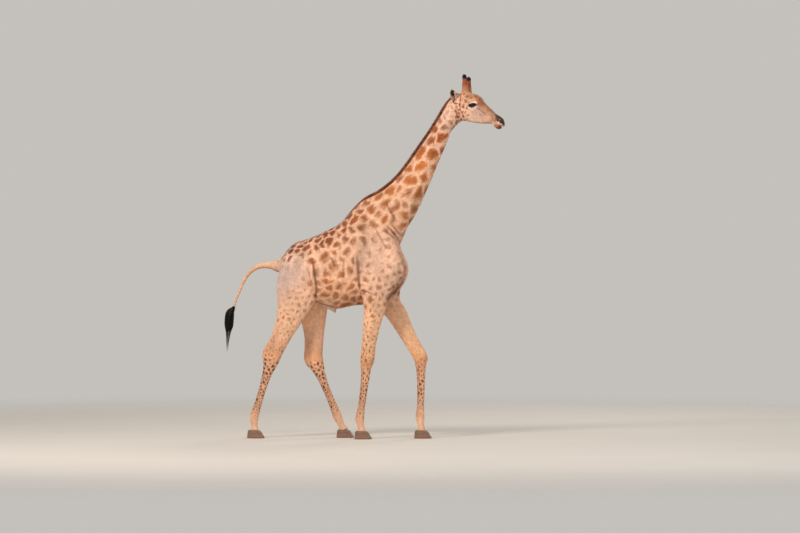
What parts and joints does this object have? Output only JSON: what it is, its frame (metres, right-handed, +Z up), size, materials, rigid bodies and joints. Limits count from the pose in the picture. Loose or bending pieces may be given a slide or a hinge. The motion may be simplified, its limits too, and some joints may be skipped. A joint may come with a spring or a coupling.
{
  "type": "giraffe",
  "caption": "Life-size giraffe in mid-stride as a still model, long neck raised and head turned a little to its right, tail swung out behind.",
  "frame": {"origin": "on the floor under the middle of the bounding box", "axes": "+X the way the giraffe walks and faces, +Y its left side, +Z up"},
  "size_m": [3.3926, 0.5742, 4.2969],
  "materials": {
    "coat": "short smooth hair, tan with orange-brown patches",
    "mane_hair": "short stiff upright hair",
    "tuft_hair": "long coarse hair",
    "hoof": "dull horn",
    "eye": "wet gloss"
  },
  "bodies": {
    "root": {"head": "coat", "neck": "coat", "trunk": "coat", "foreleg_right_upper": "coat", "foreleg_right_lower": "coat", "foreleg_left_upper": "coat", "foreleg_left_lower": "coat", "hindleg_right_upper": "coat", "hindleg_right_lower": "coat", "hindleg_left_upper": "coat", "hindleg_left_lower": "coat", "tail": "coat", "tail_tuft": "tuft_hair", "mane": "mane_hair", "eye_left": "eye", "ear_left": "coat", "ossicone_left": "coat", "hoof_fore_left_outer": "hoof", "hoof_fore_left_inner": "hoof", "hoof_hind_left_outer": "hoof", "hoof_hind_left_inner": "hoof", "eye_right": "eye", "ear_right": "coat", "ossicone_right": "coat", "hoof_fore_right_outer": "hoof", "hoof_fore_right_inner": "hoof", "hoof_hind_right_outer": "hoof", "hoof_hind_right_inner": "hoof"}
  },
  "joints": []
}
